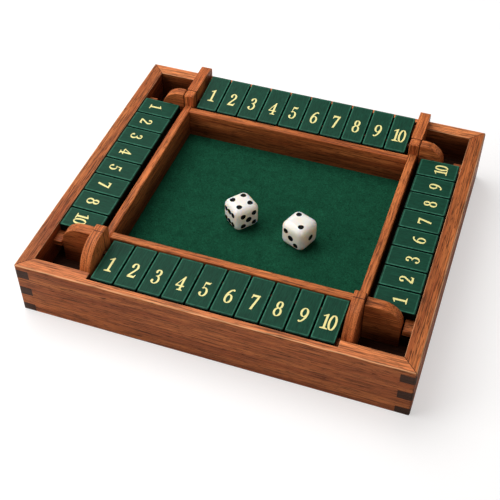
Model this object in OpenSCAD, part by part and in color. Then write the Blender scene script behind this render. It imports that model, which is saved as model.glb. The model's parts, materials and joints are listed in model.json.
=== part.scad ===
// Four-way shut the box game: a mitred hardwood box with a sunk dice tray in
// the middle and, along each of its four sides, a row of numbered tiles that
// flip inwards on a rod. Every tile rests on a batten along the wall, the back
// row tilted towards the tray, and stops on the tray's rail when flipped. One
// base panel, let into the walls, carries the felt, the rails and the cheeks.
// Origin: middle of the underside. +X to the right, +Y to the back, +Z up.

/* [Box] */
// Overall width of the box, left to right
box_w = 260; // [250:1:290]
// Overall depth of the box, front to back
box_d = 229; // [220:1:260]
// Height of the walls
wall_h = 42; // [38:1:56]
// Thickness of the walls
wall_t = 10; // [8:0.5:12]
// Rounding of the walls' outer edges
edge_r = 1.4; // [0.6:0.2:2.4]
// Rounding of the box's four upright corners
corner_r = 1.8; // [0.6:0.2:3]

/* [Base panel] */
// Thickness of the base panel
base_t = 5; // [3:0.5:6]
// How far the base panel reaches into the walls' grooves
base_tongue = 4; // [2:0.5:5]
// Play between the base panel's edge and the bottom of its groove
base_play = 0.3; // [0.1:0.1:0.6]

/* [Corner keys] */
// Number of keys across each mitred corner
key_n = 3; // [2:1:4]
// Height of one key
key_h = 7.2; // [4:0.2:8]
// Length of a key along each face of its corner
key_l = 9.6; // [7:0.2:12]
// Wood left above the top key
key_top = 3.6; // [2:0.2:5]

/* [Dice tray] */
// Clear width of the channel under the front and back rows
long_channel = 32.6; // [32:0.2:35]
// Clear width of the channel under the left and right rows
side_channel = 32; // [31.4:0.2:34]
// Thickness of the rails round the tray
rail_t = 5.5; // [5:0.5:7]
// Rounding of the rails' top edges
rail_r = 0.9; // [0.4:0.1:1.5]
// How far the side rails run on past the front and back rails
rail_over = 1.6; // [1:0.2:3]
// Depth of the tray, from the rim down to the felt
tray_depth = 20.8; // [18:0.2:23]
// Thickness of the felt
felt_t = 1.2; // [0.8:0.2:2]
// Play between the felt's edge and the rails
felt_play = 0.3; // [0.1:0.1:1]

/* [Cheeks and posts] */
// Thickness of the end cheeks, and the width of the posts
cheek_t = 7.5; // [6:0.5:9]
// How far the front row's cheeks stand above the rim
front_rise = 13.5; // [10:0.5:18]
// How far the front cheeks of the left and right rows stand above the rim
side_rise = 8.5; // [7:0.5:12]
// How far the back corners' cheeks and posts stand above the rim
back_rise = 8.5; // [7:0.5:12]
// Quarter-round at the outer top corner of a front cheek
front_round = 19; // [12:0.5:20]
// Rounding of a front cheek's inner top corner
front_heel = 3.5; // [1:0.5:5]
// Rounding of a back cheek's far top corner, over the back wall
back_round = 3; // [1.5:0.5:5]
// How far the back cheeks stop short of the back wall's outer face
back_shy = 1; // [0.6:0.1:3]
// Quarter-round at the outer top corner of a left or right row's cheek
side_round = 14; // [10:0.5:15]
// Length of the left and right rows' front cheeks
side_front_l = 24; // [22:0.5:24.5]
// Length of the left and right rows' back cheeks
side_back_l = 17.5; // [16:0.5:22]
// Rounding of a low cheek's inner top corner and of a post's edges
soft_r = 1.2; // [0.6:0.1:2]

/* [Tiles] */
// Number of tiles in the front and back rows
long_n = 10; // [9:1:10]
// Number of tiles in the left and right rows
side_n = 8; // [7:1:8]
// Thickness of a tile
tile_t = 6.2; // [5:0.2:7]
// Gap between neighbouring tiles
tile_gap = 1; // [0.6:0.1:1.5]
// Gap between the front and back rows and their cheeks
long_end_gap = 2.5; // [2:0.1:4]
// Gap between the left and right rows and their cheeks
side_end_gap = 2; // [1.5:0.1:4]
// Gap between the front and back tiles and the rail
long_rail_gap = 1.1; // [0.9:0.1:2]
// Gap between the left and right tiles and the rail
side_rail_gap = 3.5; // [3:0.1:6]
// Gap between the front and back tiles and the lip of the wall
long_lip_gap = 0.6; // [0.4:0.1:2]
// Gap between the left and right tiles and the wall
side_wall_gap = 0.8; // [0.5:0.1:2]
// Tilt of the front row's tiles, outer end up
front_tilt = 1; // [0:0.5:9]
// Tilt of the back row's tiles, outer end up
back_tilt = 7; // [0:0.5:9]
// Tilt of the left and right rows' tiles, outer end up
side_tilt = 1; // [0:0.5:9]
// Rounding of a tile's edges
tile_r = 0.8; // [0.4:0.1:1.2]

/* [Rods and rests] */
// Radius of the rods that the tiles turn on
rod_r = 1.5; // [1:0.1:1.8]
// Running clearance round a rod, on the radius
rod_play = 0.05; // [0.02:0.01:0.08]
// Depth of the rod's blind hole in a cheek
rod_socket = 5; // [3:0.5:5.5]
// Setback of the rod from the inner end of a front or back tile
long_setback = 10.5; // [9:0.5:12]
// Setback of the rod from the inner end of a left or right tile
side_setback = 8; // [7.5:0.5:9]
// Width of the rest battens
batten_w = 6; // [5:0.5:6.5]
// Height of the rest battens
batten_h = 4; // [3:0.5:8]
// Gap between a resting tile and what it rests on
rest_gap = 0.3; // [0.1:0.1:0.5]
// Thickness of the lip left beside the rebate in a wall's top
lip_t = 4.6; // [3.5:0.2:5]

/* [Dice] */
// Edge length of a die
die_s = 19; // [14:0.5:19.5]
// Rounding of a die's edges
die_edge_r = 3.4; // [1:0.2:4]
// Radius of the ball that rounds a die's corners, as a share of its edge
die_ball = 0.735; // [0.72:0.005:0.78]
// Radius of a pip at the die's face
pip_r = 1.9; // [1.2:0.1:2.2]
// Depth of a pip
pip_deep = 0.5; // [0.3:0.1:0.8]
// Place of the first die from the middle of the tray, to the right
die_a_x = -14; // [-60:1:60]
// Place of the first die from the middle of the tray, to the back
die_a_y = -10; // [-45:1:45]
// Turn of the first die
die_a_turn = 51; // [0:1:90]
// Place of the second die from the middle of the tray, to the right
die_b_x = 29; // [-60:1:60]
// Place of the second die from the middle of the tray, to the back
die_b_y = -15; // [-45:1:45]
// Turn of the second die
die_b_turn = 68; // [0:1:90]
// Gap between a die and the felt
die_gap = 0.1; // [0.05:0.05:0.3]

/* [Hidden] */
$fn = 48;
cut = 1;                                        // how far a cutter runs past what it cuts
inner_x = box_w / 2 - wall_t;                   // inner face of the side walls
inner_y = box_d / 2 - wall_t;                   // inner face of the front and back walls
felt_z = wall_h - tray_depth;                   // top of the felt
deck = felt_z - felt_t;                         // top of the base panel
base_z = deck - base_t;                         // underside of the base panel
key_pitch = (wall_h - key_top - key_h) / (key_n - 1);

rail_x = inner_x - side_channel;                // outer face of the side rails
rail_y = inner_y - long_channel;                // outer face of the front and back rails
tray_x = rail_x - rail_t;                       // half the tray's clear width
tray_y = rail_y - rail_t;                       // half the tray's clear depth

cheek_x = rail_x - rail_t / 2 - cheek_t / 2;    // inner face of the front and back cheeks
cheek_y = rail_y + rail_over;                   // inner face of the side cheeks
cheek_out_x = cheek_x + cheek_t;                // where the side cheeks start
cheek_out_y = cheek_y + cheek_t;                // where the back cheeks start

row_x = cheek_x - long_end_gap;                 // half the span of a front or back row
row_y = cheek_y - side_end_gap;                 // half the span of a left or right row
long_pitch = (2 * row_x + tile_gap) / long_n;
side_pitch = (2 * row_y + tile_gap) / side_n;
long_in = rail_y + long_rail_gap;               // inner end of a front or back tile
side_in = rail_x + side_rail_gap;               // inner end of a left or right tile
long_out = box_d / 2 - lip_t - long_lip_gap;    // outer end of a front or back tile
side_out = inner_x - side_wall_gap;             // outer end of a left or right tile

// Tilt of the front or the back row
function long_tilt(side) = side < 0 ? front_tilt : back_tilt;

// Length of a tile that spans from one distance to another once it is tilted
function tile_length(from, to, tilt) = (to - from - tile_t * sin(tilt)) / cos(tilt);

// Distance and height of a rod, for a row whose tiles begin at inner_end
function rod_at(inner_end, setback, tilt) = [
    inner_end + setback * cos(tilt) + tile_t / 2 * sin(tilt),
    wall_h + setback * sin(tilt) - tile_t / 2 * cos(tilt)];

// Height of what a row's tiles rest on at distance d from the middle of the box
function rest_at(inner_end, d, tilt) =
    wall_h - tile_t * cos(tilt) - rest_gap
    + (d - inner_end - tile_t * sin(tilt)) * tan(tilt);

function long_rod(side) = rod_at(long_in, long_setback, long_tilt(side));
side_rod = rod_at(side_in, side_setback, side_tilt);
side_rest = rest_at(side_in, inner_x - batten_w, side_tilt);

dark = [0.27, 0.18, 0.14];
red_brown = [0.62, 0.35, 0.21];
mid_brown = [0.66, 0.38, 0.23];
tile_green = [0.16, 0.33, 0.26];
felt_green = [0.07, 0.28, 0.19];

function row_names(row, n) = [for (i = [1 : n]) str(row, "_tile_", i)];

// ---------- shared shapes ----------

// What a rounding of radius r takes off the corner at [x, y], turned by a
module corner_waste(x, y, r, a) {
    translate([x, y]) rotate(a)
        difference() {
            translate([-cut, -cut]) square(r + cut);
            translate([r, r]) circle(r);
        }
}

// Rectangle with radii for its low left, low right, top right and top left corners
module soft_rect(w, h, radii) {
    places = [[0, 0], [w, 0], [w, h], [0, h]];
    difference() {
        square([w, h]);
        for (i = [0 : 3])
            if (radii[i] > 0)
                corner_waste(places[i][0], places[i][1], radii[i], 90 * i);
    }
}

// Extrudes an outline drawn in Y and Z along X, over length l about the middle
module along_x(l) {
    rotate([90, 0, 90]) linear_extrude(l, center = true) children();
}

// Extrudes an outline drawn in X and Z along Y, over length l about the middle
module along_y(l) {
    rotate([90, 0, 0]) linear_extrude(l, center = true) children();
}

// A box spanning lo to hi
module span(lo, hi) {
    translate(lo) cube(hi - lo);
}

// Mirrors to the left where sx is negative, and to the front where sy is
module flipped(sx, sy) {
    mirror([sx < 0 ? 1 : 0, 0, 0]) mirror([0, sy < 0 ? 1 : 0, 0]) children();
}

// The box's outer form, with every outer edge rounded
module box_skin() {
    round_all = [edge_r, edge_r, edge_r, edge_r];
    intersection() {
        translate([-box_w / 2, -box_d / 2, 0])
            linear_extrude(wall_h) soft_rect(box_w, box_d, corner_r * [1, 1, 1, 1]);
        along_x(box_w) translate([-box_d / 2, 0]) soft_rect(box_d, wall_h, round_all);
        along_y(box_d) translate([-box_w / 2, 0]) soft_rect(box_w, wall_h, round_all);
    }
}

// ---------- walls, keys and base ----------

module keys() {
    for (sx = [-1, 1], sy = [-1, 1], i = [0 : key_n - 1])
        translate([sx * box_w / 2, sy * box_d / 2, i * key_pitch])
            linear_extrude(key_h)
                polygon([[0, 0], [-sx * key_l, 0], [0, -sy * key_l]]);
}

// The groove that the base panel sits in, as one slab
module base_groove() {
    reach = [inner_x + base_tongue, inner_y + base_tongue, base_t];
    span([-reach[0], -reach[1], base_z], [reach[0], reach[1], deck]);
}

// One wall on the side at [0, -1] turned by a, before any rebate for its tiles.
// l is its length and d its outer face's distance from the middle.
module wall(l, d, a) {
    difference() {
        intersection() {
            box_skin();
            rotate(a) linear_extrude(wall_h)
                polygon([[-l / 2, -d], [l / 2, -d], [l / 2 - wall_t, wall_t - d],
                         [wall_t - l / 2, wall_t - d]]);
        }
        keys();
        base_groove();
    }
}

module long_wall(side) {
    rebate_z = rest_at(long_in, inner_y, long_tilt(side));
    difference() {
        wall(box_w, box_d / 2, side < 0 ? 0 : 180);
        flipped(1, side)
            span([-cheek_x, inner_y - cut, rebate_z],
                 [cheek_x, box_d / 2 - lip_t, wall_h + cut]);
    }
}

module side_wall(side) {
    wall(box_d, box_w / 2, side < 0 ? -90 : 90);
}

module corner_keys() {
    color(dark) intersection() {
        keys();
        box_skin();
    }
}

module base_panel() {
    reach = [inner_x, inner_y, 0] + (base_tongue - base_play) * [1, 1, 0];
    color(dark) span([-reach[0], -reach[1], base_z], [reach[0], reach[1], deck]);
}

// ---------- dice tray ----------

module rail_section() {
    soft_rect(rail_t, wall_h - deck, [0, 0, rail_r, rail_r]);
}

module long_rail(side) {
    color(mid_brown)
        flipped(1, side) translate([0, tray_y, deck]) along_x(2 * tray_x) rail_section();
}

module side_rail(side) {
    color(mid_brown)
        flipped(side, 1) translate([tray_x, 0, deck]) along_y(2 * cheek_y) rail_section();
}

module felt() {
    color(felt_green)
        span([felt_play - tray_x, felt_play - tray_y, deck],
             [tray_x - felt_play, tray_y - felt_play, felt_z]);
}

// ---------- cheeks, posts, rods and battens ----------

// Blind holes for the rods of the front and back rows
module long_rod_holes() {
    r = rod_r + rod_play;
    for (sy = [-1, 1])
        translate([0, sy * long_rod(sy)[0], long_rod(sy)[1]])
            rotate([0, 90, 0]) cylinder(r = r, h = 2 * (cheek_x + rod_socket), center = true);
}

// Blind holes for the rods of the left and right rows
module side_rod_holes() {
    r = rod_r + rod_play;
    for (sx = [-1, 1])
        translate([sx * side_rod[0], 0, side_rod[1]])
            rotate([90, 0, 0]) cylinder(r = r, h = 2 * (cheek_y + rod_socket), center = true);
}

// Outline of a cheek of length l, with its far and near top corners rounded
module cheek_outline(l, rise, far_r, near_r) {
    soft_rect(l, wall_h + rise - deck, [0, 0, far_r, near_r]);
}

// A pair of cheeks at the ends of the front or back row, from an outline in Y and Z
module long_cheeks(side) {
    color(red_brown) difference() {
        for (sx = [-1, 1])
            flipped(sx, side)
                translate([cheek_x + cheek_t / 2, 0, deck]) along_x(cheek_t) children();
        long_rod_holes();
    }
}

module front_cheeks() {
    long_cheeks(-1)
        translate([cheek_y, 0])
            cheek_outline(inner_y - cheek_y, front_rise, front_round, front_heel);
}

// The back cheeks run on over the top of the back wall
module back_cheeks() {
    l = box_d / 2 - back_shy - cheek_out_y;
    long_cheeks(1)
        difference() {
            translate([cheek_out_y, 0]) cheek_outline(l, back_rise, back_round, soft_r);
            translate([inner_y, -cut]) square([wall_t, wall_h - deck + cut]);
        }
}

// The pair of cheeks at the ends of the left or right row
module side_cheeks(side) {
    color(red_brown) difference() {
        for (sy = [-1, 1])
            flipped(side, sy)
                translate([cheek_out_x, cheek_y + cheek_t / 2, deck])
                    along_y(cheek_t)
                        cheek_outline(sy < 0 ? side_front_l : side_back_l,
                                      sy < 0 ? side_rise : back_rise, side_round, soft_r);
        side_rod_holes();
    }
}

// The posts where the back cheeks, the side cheeks and the side rails meet
module corner_posts() {
    h = wall_h + back_rise - deck;
    top = [0, 0, soft_r, soft_r];
    color(mid_brown)
        for (sx = [-1, 1])
            translate([sx * (cheek_x + cheek_t / 2), cheek_y + cheek_t / 2, deck])
                intersection() {
                    translate(-cheek_t / 2 * [1, 1, 0])
                        linear_extrude(h) soft_rect(cheek_t, cheek_t, soft_r * [1, 1, 0, 0]);
                    along_x(cheek_t) translate([-cheek_t / 2, 0]) soft_rect(cheek_t, h, top);
                    along_y(cheek_t) translate([-cheek_t / 2, 0]) soft_rect(cheek_t, h, top);
                }
}

module long_rod_bar(side) {
    l = 2 * (cheek_x + rod_socket - rod_play);
    color(mid_brown) translate([0, side * long_rod(side)[0], long_rod(side)[1]])
        rotate([0, 90, 0]) cylinder(r = rod_r, h = l, center = true);
}

module side_rod_bar(side) {
    l = 2 * (cheek_y + rod_socket - rod_play);
    color(mid_brown) translate([side * side_rod[0], 0, side_rod[1]])
        rotate([90, 0, 0]) cylinder(r = rod_r, h = l, center = true);
}

// The batten that the front or back row's tiles rest on
module long_batten(side) {
    z = rest_at(long_in, inner_y - batten_w, long_tilt(side));
    flipped(1, side)
        span([-cheek_x, inner_y - batten_w, z - batten_h], [cheek_x, inner_y, z]);
}

module rest_battens() {
    color(mid_brown) {
        for (sy = [-1, 1])
            long_batten(sy);
        for (sx = [-1, 1])
            flipped(sx, 1)
                span([inner_x - batten_w, -cheek_out_y, side_rest - batten_h],
                     [inner_x, cheek_out_y, side_rest]);
    }
}

// ---------- tiles ----------

// A tile of length l and width w, lying along +Y with its rod's axis on X at the
// origin, bored for the rod at setback from its inner end.
module tile(l, w, setback) {
    color(tile_green) difference() {
        intersection() {
            along_x(w) translate([-setback, -tile_t / 2])
                soft_rect(l, tile_t, tile_r * [1, 1, 1, 1]);
            translate([0, l / 2 - setback, 0])
                along_y(l) translate([-w / 2, -tile_t / 2])
                    soft_rect(w, tile_t, tile_r * [1, 1, 1, 1]);
            translate([-w / 2, -setback, -tile_t / 2])
                linear_extrude(tile_t) soft_rect(w, l, tile_r * [1, 1, 1, 1]);
        }
        rotate([0, 90, 0]) cylinder(r = rod_r + rod_play, h = w + 2 * cut, center = true);
    }
}

// Tile i of a front or back row, counted from the left
module long_tile(side, i) {
    x = (i - (long_n + 1) / 2) * long_pitch;
    l = tile_length(long_in, long_out, long_tilt(side));
    translate([x, side * long_rod(side)[0], long_rod(side)[1]])
        rotate(side < 0 ? 180 : 0) rotate([long_tilt(side), 0, 0])
            tile(l, long_pitch - tile_gap, long_setback);
}

// Tile i of a left or right row, counted from the front
module side_tile(side, i) {
    y = (i - (side_n + 1) / 2) * side_pitch;
    l = tile_length(side_in, side_out, side_tilt);
    translate([side * side_rod[0], y, side_rod[1]])
        rotate(side < 0 ? 90 : -90) rotate([side_tilt, 0, 0])
            tile(l, side_pitch - tile_gap, side_setback);
}

// ---------- dice ----------

// Where the pips of number n sit on a face, in thirds of the pip field
function pip_spots(n) = concat(
    n % 2 == 1 ? [[0, 0]] : [],
    n > 1 ? [[1, 1], [-1, -1]] : [],
    n > 3 ? [[-1, 1], [1, -1]] : [],
    n == 6 ? [[-1, 0], [1, 0]] : []);

// The pips of number n on the top face
module pips(n) {
    ball_r = (pip_r * pip_r + pip_deep * pip_deep) / (2 * pip_deep);
    for (spot = pip_spots(n))
        translate([spot[0] * die_s / 4, spot[1] * die_s / 4, die_s / 2 + ball_r - pip_deep])
            sphere(ball_r);
}

// A die about its own middle, with the numbers on its top, front and right faces
module die(top, front, right) {
    difference() {
        intersection() {
            through_die([0, 0, 0]) die_face();
            through_die([90, 0, 0]) die_face();
            through_die([0, 90, 0]) die_face();
            sphere(die_s * die_ball);
        }
        pips(top);
        rotate([180, 0, 0]) pips(7 - top);
        rotate([90, 0, 0]) pips(front);
        rotate([-90, 0, 0]) pips(7 - front);
        rotate([0, 90, 0]) pips(right);
        rotate([0, -90, 0]) pips(7 - right);
    }
}

module die_face() {
    translate(-die_s / 2 * [1, 1]) soft_rect(die_s, die_s, die_edge_r * [1, 1, 1, 1]);
}

// Extrudes a face through the die, turned to look along another axis
module through_die(turn) {
    rotate(turn) linear_extrude(die_s, center = true) children();
}

module placed_die(x, y, turn, numbers) {
    color([0.94, 0.92, 0.86])
        translate([x, y, felt_z + die_gap + die_s / 2]) rotate(turn)
            die(numbers[0], numbers[1], numbers[2]);
}

module front_wall() { color(red_brown) long_wall(-1); }
module back_wall() { color(red_brown) long_wall(1); }
module left_wall() { color(red_brown) side_wall(-1); }
module right_wall() { color(red_brown) side_wall(1); }
module front_rail() { long_rail(-1); }
module back_rail() { long_rail(1); }
module left_rail() { side_rail(-1); }
module right_rail() { side_rail(1); }
module left_cheeks() { side_cheeks(-1); }
module right_cheeks() { side_cheeks(1); }
module front_rod() { long_rod_bar(-1); }
module back_rod() { long_rod_bar(1); }
module left_rod() { side_rod_bar(-1); }
module right_rod() { side_rod_bar(1); }
module die_a() { placed_die(die_a_x, die_a_y, die_a_turn, [4, 5, 1]); }
module die_b() { placed_die(die_b_x, die_b_y, die_b_turn, [2, 1, 4]); }

front_wall();
back_wall();
left_wall();
right_wall();
corner_keys();
base_panel();
front_rail();
back_rail();
left_rail();
right_rail();
felt();
corner_posts();
front_cheeks();
back_cheeks();
left_cheeks();
right_cheeks();
front_rod();
back_rod();
left_rod();
right_rod();
rest_battens();
die_a();
die_b();
for (i = [1 : long_n]) long_tile(-1, i);
for (i = [1 : long_n]) long_tile(1, i);
for (i = [1 : side_n]) side_tile(-1, i);
for (i = [1 : side_n]) side_tile(1, i);
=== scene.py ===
"""Four-sided shut the box game: the finish of every piece, built round the packed frame.

Laid out as an add-on: sizes and colours are scene properties, each group of pieces is an
operator, and the sidebar panel lists them. Lengths are in metres, in the frame's own axes, and
MM turns millimetres into metres.
"""

import json
import math
import random

import bmesh
import bpy
from bpy.props import FloatProperty, FloatVectorProperty, IntProperty, PointerProperty
from mathutils import Matrix, Vector
from mathutils.geometry import delaunay_2d_cdt

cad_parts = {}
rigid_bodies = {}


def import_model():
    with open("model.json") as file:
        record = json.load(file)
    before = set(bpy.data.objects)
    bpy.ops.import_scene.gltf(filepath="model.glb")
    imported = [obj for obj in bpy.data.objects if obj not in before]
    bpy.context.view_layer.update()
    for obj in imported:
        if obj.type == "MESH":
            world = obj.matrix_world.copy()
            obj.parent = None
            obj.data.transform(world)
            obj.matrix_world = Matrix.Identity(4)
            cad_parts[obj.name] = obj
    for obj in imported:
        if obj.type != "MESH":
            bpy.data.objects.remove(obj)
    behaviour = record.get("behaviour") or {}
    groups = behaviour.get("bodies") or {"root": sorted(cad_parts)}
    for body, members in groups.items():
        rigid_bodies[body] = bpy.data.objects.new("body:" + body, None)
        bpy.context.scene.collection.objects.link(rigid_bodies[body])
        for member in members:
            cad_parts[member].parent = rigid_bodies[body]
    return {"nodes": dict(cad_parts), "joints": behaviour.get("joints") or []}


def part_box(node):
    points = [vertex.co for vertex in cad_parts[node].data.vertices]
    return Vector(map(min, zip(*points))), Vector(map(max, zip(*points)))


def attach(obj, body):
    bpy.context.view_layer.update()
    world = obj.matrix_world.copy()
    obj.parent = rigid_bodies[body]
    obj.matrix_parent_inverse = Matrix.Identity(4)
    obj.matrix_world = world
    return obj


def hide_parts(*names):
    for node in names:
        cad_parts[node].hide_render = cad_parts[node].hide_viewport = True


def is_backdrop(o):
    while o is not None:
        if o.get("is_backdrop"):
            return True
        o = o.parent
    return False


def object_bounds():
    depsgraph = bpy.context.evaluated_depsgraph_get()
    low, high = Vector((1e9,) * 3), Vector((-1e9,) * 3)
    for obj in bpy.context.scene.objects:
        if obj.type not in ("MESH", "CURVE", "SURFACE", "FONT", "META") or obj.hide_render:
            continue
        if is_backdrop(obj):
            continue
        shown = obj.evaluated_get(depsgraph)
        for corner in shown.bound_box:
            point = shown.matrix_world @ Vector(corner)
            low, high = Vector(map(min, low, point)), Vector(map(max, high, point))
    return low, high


bl_info = {
    "name": "Shut the box game",
    "version": (1, 0, 0),
    "blender": (4, 5, 0),
    "location": "View3D > Sidebar > Shut the Box",
    "description": "Builds a four-sided shut the box game round its packed frame",
    "category": "Add Mesh",
}

for leftover in list(bpy.data.objects):
    bpy.data.objects.remove(leftover)
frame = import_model()
CAD_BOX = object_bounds()
NODES = frame["nodes"]
HINGES = {joint["child"]: joint for joint in frame["joints"]}

MM = 0.001
BOX_BODY = "box"
ROWS = {"front": 10, "back": 10, "left": 8, "right": 8}
ALONG_X, ALONG_Y, ALONG_Z = (0,), (1,), (2,)
ROUND_Y = (1, 2)      # grain that follows a cheek's curved edge from back to front

# Number on each tile, counted from the left in the long rows and from the front in the others
NUMBERS = {
    "front": list(range(1, 11)),
    "back": list(range(1, 11)),
    "left": [10, 8, 7, 5, 4, 3, 2, 1],
    "right": [1, 2, 3, 6, 7, 8, 9, 10],
}
# Which way a row's tiles point outwards, and which way up its numbers stand
OUTWARD = {"front": (0, -1), "back": (0, 1), "left": (-1, 0), "right": (1, 0)}
NUMBER_UP = {"front": (0, 1), "back": (0, 1), "left": (1, 0), "right": (-1, 0)}
PIP_SPREAD = 0.238      # step between pips, as a share of the die's edge
# Pips on the faces of each die: up, down, front, back, right, left, before its turn
DICE = {
    "die_a": {"turn": 51, "faces": (4, 3, 5, 2, 1, 6)},
    "die_b": {"turn": 68, "faces": (2, 5, 1, 6, 4, 3)},
}
WALL_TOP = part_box("front_wall")[1].z
LONG_ROWS = ("front", "back")
HALF = (0.5, 0.5, 0.5)


def row_axis(row):
    """The way that a row of tiles runs, with its rail and its rod."""
    return ALONG_X if row in LONG_ROWS else ALONG_Y


def srgb(red, green, blue):
    """A colour from 0 to 255 as shown on screen, in the linear values that Blender works in."""
    def linear(value):
        value /= 255
        return value / 12.92 if value <= 0.04045 else ((value + 0.055) / 1.055) ** 2.4
    return (linear(red), linear(green), linear(blue))


def length(name, text, default, low, high):
    """A size that a user would change, in millimetres."""
    return FloatProperty(name=name, description=text, default=default * MM, min=low * MM,
                         max=high * MM, unit="LENGTH", subtype="DISTANCE", precision=5)


def colour(name, text, default):
    """A colour that a user would change."""
    return FloatVectorProperty(name=name, description=text, default=default, size=3,
                               min=0, max=1, subtype="COLOR")


def share(name, text, default, low=0.1, high=1.5):
    """A proportion that a user would change."""
    return FloatProperty(name=name, description=text, default=default, min=low, max=high,
                         subtype="FACTOR")


def angle(name, text, degrees):
    """An angle that a user would change."""
    return FloatProperty(name=name, description=text, default=math.radians(degrees),
                         unit="ROTATION", subtype="ANGLE")


class SHUTBOX_PG_wood(bpy.types.PropertyGroup):
    """Hardwood of the box, rails, cheeks, rods and battens"""
    light: colour("Light wood", "Colour of the wood between the grain lines", srgb(232, 135, 74))
    deep: colour("Deep wood", "Colour of the darker bands of the figure", srgb(172, 84, 42))
    pore: colour("Pores", "Colour of the open pores and dark streaks", srgb(74, 32, 15))
    key: colour("Keys", "Colour of the dark keys across the corners", srgb(74, 44, 27))
    panel: colour("Base panel", "Colour of the base panel", srgb(105, 59, 35))
    # Painted highlight: the pale colour along the walls' upper arrises
    rubbed: colour("Arris highlight", "Pale wood along the walls' upper arrises", srgb(248, 192, 142))
    wall_tone: share("Long walls", "How light the front and back walls are", 0.62)
    side_tone: share("Side walls", "How light the left and right walls are", 0.66)
    tray_tone: share("Rails", "How light the rails and the side rows' cheeks are", 0.84)
    # Painted shade: the rods are darkened where they lie under the tiles
    rod_tone: share("Rods", "How light the rods are", 0.2)
    batten_tone: share("Battens", "How light the battens under the tiles are", 0.7)
    # Painted light: how much lighter the long walls' tops are drawn than their faces
    rim_tone: share("Lit rim", "How much lighter the long walls' rubbed tops are", 1.85, 0.5, 3)
    # Painted shade: how dark the wood is drawn down inside the box and on the well floors
    low_tone: share("Sunk wood", "How light the inner wood is down between the pieces", 0.32)
    arris: length("Arris", "Softening of every sawn edge", 0.45, 0.05, 1.5)
    soft_arris: length("Soft arris", "Softening of the cheeks' and posts' edges", 1.9, 0.1, 2)
    tight_arris: length("Tight arris", "Softening of the edges at mitres and keys",
                        0.14, 0.02, 0.5)


class SHUTBOX_PG_tiles(bpy.types.PropertyGroup):
    """Numbered tiles"""
    paint: colour("Paint", "Green of the tiles", srgb(18, 62, 46))
    # Painted highlight: the paler green along a tile's edges and how far it reaches
    worn: colour("Edge sheen", "Paler green that shows along a tile's edges", srgb(62, 126, 101))
    ink: colour("Numbers", "Pale gold of the numbers", srgb(243, 231, 150))
    edge: length("Edge", "Rounding of a tile's edges", 0.7, 0.2, 2)
    wear: length("Wear", "How far the paler paint reaches onto a tile's faces", 0.35, 0.1, 2)
    # Painted shade: how dark a tile's sides and ends are drawn
    side_tone: share("Sides", "How light the paint is down a tile's sides", 0.2)
    number_proud: length("Relief", "How far the numbers stand proud", 0.07, 0.01, 0.5)
    long_number: length("Long row numbers", "Height of the front and back rows' numbers",
                        12.2, 5, 20)
    side_number: length("Side row numbers", "Height of the left and right rows' numbers",
                        8.9, 5, 20)
    long_breadth: share("Long row breadth", "Stretch of the long rows' numbers sideways", 0.82)
    side_breadth: share("Side row breadth", "Stretch of the side rows' numbers sideways", 1.18)


class SHUTBOX_PG_felt(bpy.types.PropertyGroup):
    """Felt of the dice tray"""
    dark: colour("Felt", "Colour down in the felt", srgb(8, 38, 25))
    light: colour("Nap", "Colour of the fibres on top", srgb(29, 92, 66))
    hair: length("Hair", "Length of a loose fibre", 1.1, 0.2, 4)
    hair_width: length("Hair width", "Width of a loose fibre", 0.05, 0.01, 0.3)
    hairs: IntProperty(name="Hairs", description="Loose fibres on the felt", default=9000,
                       min=0, max=30000)


class SHUTBOX_PG_dice(bpy.types.PropertyGroup):
    """Loose dice"""
    body: colour("Body", "Ivory of the dice", srgb(251, 236, 226))
    pip: colour("Pips", "Paint in the pips", srgb(5, 5, 6))
    edge: length("Edge", "Rounding of a die's edges", 4.8, 1, 6)
    pip_radius: length("Pip radius", "Radius of a pip at the face", 2.25, 0.5, 3)
    pip_depth: length("Pip depth", "Depth of a pip", 0.5, 0.1, 1.5)


class SHUTBOX_PG_stage(bpy.types.PropertyGroup):
    """Floor, lamps and camera"""
    floor: colour("Floor", "Colour of the floor", (0.93, 0.93, 0.93))
    reach: length("Camera distance", "Distance from the camera to its target", 681.4, 300, 2000)
    lens: length("Lens", "Focal length, for a sensor 36 mm wide", 70, 20, 200)
    azimuth: angle("Azimuth", "How far the camera stands to the right", 19.19)
    elevation: angle("Elevation", "How far the camera looks down", 46.25)


# ---------- node trees ----------

def put(tree, kind, inputs=None, **settings):
    """Adds a node to tree. inputs maps its sockets to values, or to the sockets that feed them."""
    made = tree.nodes.new(kind)
    for name, value in settings.items():
        setattr(made, name, value)
    for name, value in (inputs or {}).items():
        if isinstance(value, bpy.types.NodeSocket):
            tree.links.new(value, made.inputs[name])
        else:
            made.inputs[name].default_value = value
    return made


def add(tree, kind, inputs=None, out=0, **settings):
    """Adds a node to tree and returns one of its outputs."""
    return put(tree, kind, inputs, **settings).outputs[out]


def maths(tree, operation, *values):
    return add(tree, "ShaderNodeMath", dict(enumerate(values)), operation=operation)


def vector_maths(tree, operation, *values):
    return add(tree, "ShaderNodeVectorMath", dict(enumerate(values)), operation=operation)


def xyz(tree, vector):
    """The three parts of a vector."""
    return put(tree, "ShaderNodeSeparateXYZ", {"Vector": vector}).outputs


def ramp(tree, factor, *stops):
    """A colour ramp through stops, each of them a place and a colour or a grey. A ramp is sampled
    from 0 to 1, so the places are first spread out over that."""
    start, end = stops[0][0], stops[-1][0]
    along = add(tree, "ShaderNodeMapRange", {"Value": factor, "From Min": start, "From Max": end})
    made = put(tree, "ShaderNodeValToRGB", {"Fac": along})
    bar = made.color_ramp
    while len(bar.elements) < len(stops):
        bar.elements.new(0.5)
    for element, (place, shade) in zip(bar.elements, stops):
        element.position = (place - start) / (end - start)
        element.color = (*shade, 1) if isinstance(shade, tuple) else (shade, shade, shade, 1)
    return made.outputs["Color"]


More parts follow.
